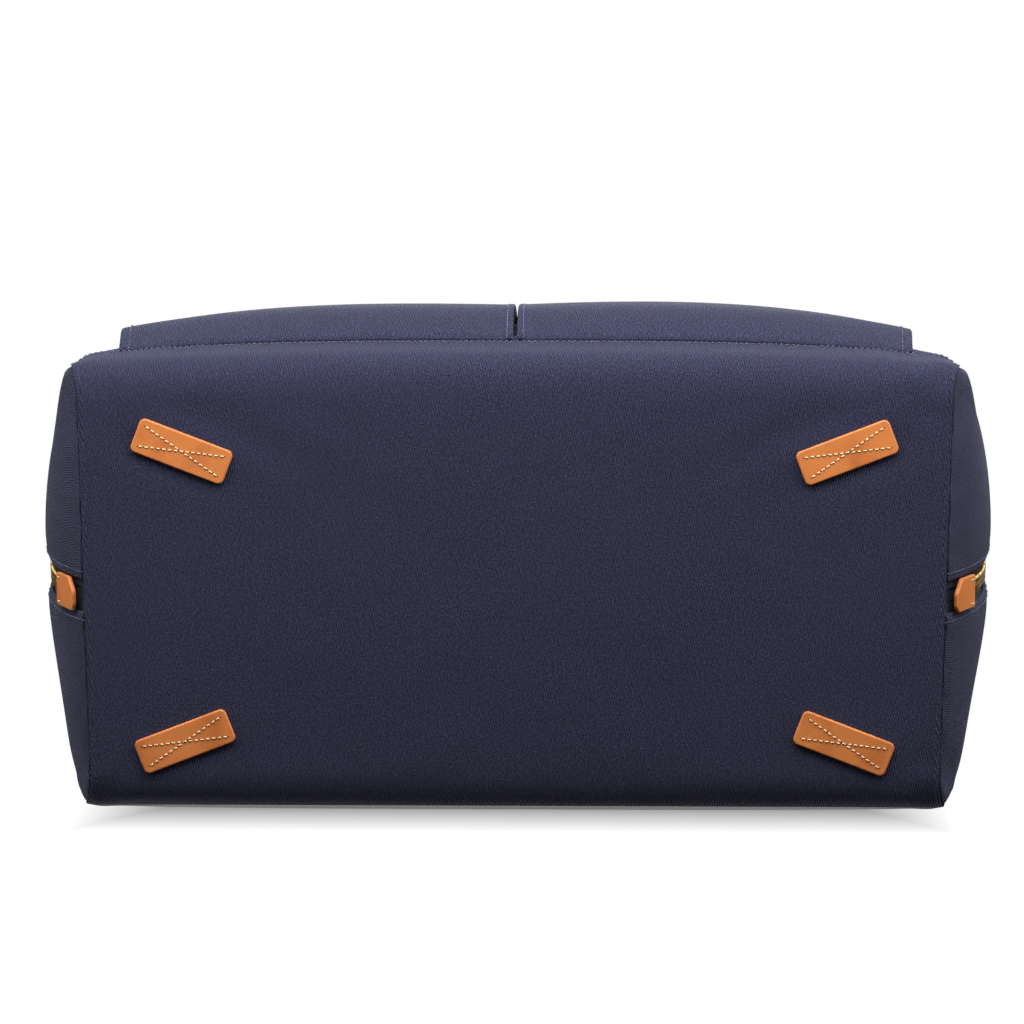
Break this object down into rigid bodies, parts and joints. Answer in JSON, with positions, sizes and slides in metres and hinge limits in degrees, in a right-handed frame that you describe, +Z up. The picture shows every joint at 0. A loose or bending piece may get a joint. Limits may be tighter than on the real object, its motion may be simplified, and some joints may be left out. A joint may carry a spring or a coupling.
{
  "type": "weekender bag",
  "caption": "Soft-sided canvas travel bag with leather trim, patch pockets in front, a zip over the top and both ends, and two carrying handles.",
  "frame": {"origin": "on the ground under the middle of the bag's outer size, feet down", "axes": "+X along the length of the bag, -Y towards the front with the two pockets, +Z up through the zipped top"},
  "size_m": [0.59, 0.2991, 0.427],
  "materials": {
    "navy_canvas": "heavy cotton twill, matt with a faint sheen, tone-on-tone topstitching",
    "lining": "plain woven cotton lining",
    "zip_tape": "herringbone zip tape",
    "tan_leather": "vegetable-tanned leather, satin, darker cut edges, cream thread",
    "brass": "antique brass, softly polished",
    "board": "base stiffener, plain",
    "rope": "cotton rope core"
  },
  "bodies": {
    "bag": {"base_panel": "navy_canvas", "base_board": "board", "front_panel": "navy_canvas", "back_panel": "navy_canvas", "lining": "lining", "left_end_front": "navy_canvas", "left_end_back": "navy_canvas", "right_end_front": "navy_canvas", "right_end_back": "navy_canvas", "left_pocket": "navy_canvas", "right_pocket": "navy_canvas", "left_zip_tape": "zip_tape", "right_zip_tape": "zip_tape", "left_zip_teeth": "brass", "right_zip_teeth": "brass", "left_zip_tab": "tan_leather", "right_zip_tab": "tan_leather", "foot_front_left": "tan_leather", "foot_front_right": "tan_leather", "foot_back_left": "tan_leather", "foot_back_right": "tan_leather", "front_handle_tabs": "tan_leather", "back_handle_tabs": "tan_leather", "front_rivets": "brass", "back_rivets": "brass"},
    "front_top": {"front_flap": "navy_canvas", "front_flap_lining": "lining", "front_flap_tape": "zip_tape", "front_flap_teeth": "brass"},
    "back_top": {"back_flap": "navy_canvas", "back_flap_lining": "lining", "back_flap_tape": "zip_tape", "back_flap_teeth": "brass"},
    "slider": {"zip_slider": "brass"},
    "pull": {"pull_link": "brass", "pull_tab": "tan_leather"},
    "front_grip": {"front_handle": "tan_leather", "front_handle_core": "rope", "front_handle_rings": "brass"},
    "back_grip": {"back_handle": "tan_leather", "back_handle_core": "rope", "back_handle_rings": "brass"}
  },
  "joints": [
    {"name": "front_flap_fold", "type": "hinge", "parent": "bag", "child": "front_top", "pos_m": [0, -0.10506, 0.2915], "axis": [1, 0, 0], "range_deg": [0, 70]},
    {"name": "back_flap_fold", "type": "hinge", "parent": "bag", "child": "back_top", "pos_m": [0, 0.13194, 0.2915], "axis": [-1, 0, 0], "range_deg": [0, 70]},
    {"name": "slider_run", "type": "slide", "parent": "bag", "child": "slider", "axis": [1, 0, 0], "range_m": [0, 0.424]},
    {"name": "pull_swing", "type": "hinge", "parent": "slider", "child": "pull", "pos_m": [-0.212, 0.01344, 0.2969], "axis": [0, 1, 0], "range_deg": [0, 185]},
    {"name": "front_handle_swing", "type": "hinge", "parent": "bag", "child": "front_grip", "pos_m": [0, -0.12846, 0.23931], "axis": [1, 0, 0], "range_deg": [0, 155]},
    {"name": "back_handle_swing", "type": "hinge", "parent": "bag", "child": "back_grip", "pos_m": [0, 0.14494, 0.23931], "axis": [-1, 0, 0], "range_deg": [0, 155]}
  ]
}
